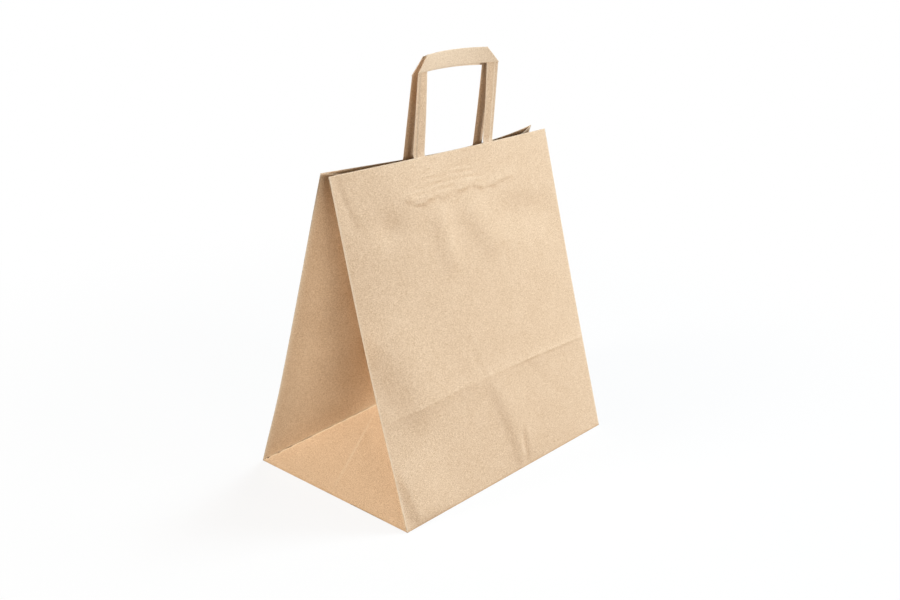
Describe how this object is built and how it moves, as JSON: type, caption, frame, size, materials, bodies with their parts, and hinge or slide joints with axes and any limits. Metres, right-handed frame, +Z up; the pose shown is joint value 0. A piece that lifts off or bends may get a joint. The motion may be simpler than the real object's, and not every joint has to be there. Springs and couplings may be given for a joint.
{
  "type": "paper carrier bag",
  "caption": "Brown paper carrier bag with a block bottom, folded-in side gussets and flat strap handles glued inside its mouth, for carrying shopping.",
  "frame": {"origin": "middle of the base, on the surface that the bag stands on", "axes": "+Z up to the handles, +X along the bag's width, +Y from the front panel to the back panel with the glued seam"},
  "size_m": [0.3204, 0.2102, 0.4281],
  "materials": {
    "sack_paper": "matt unbleached brown paper with visible fibre",
    "strap_paper": "matt unbleached brown paper, folded plies",
    "patch_paper": "matt unbleached brown paper"
  },
  "bodies": {
    "root": {"bag_body": "sack_paper", "front_handle": "strap_paper", "rear_handle": "strap_paper", "front_handle_patch": "patch_paper", "rear_handle_patch": "patch_paper"}
  },
  "joints": []
}
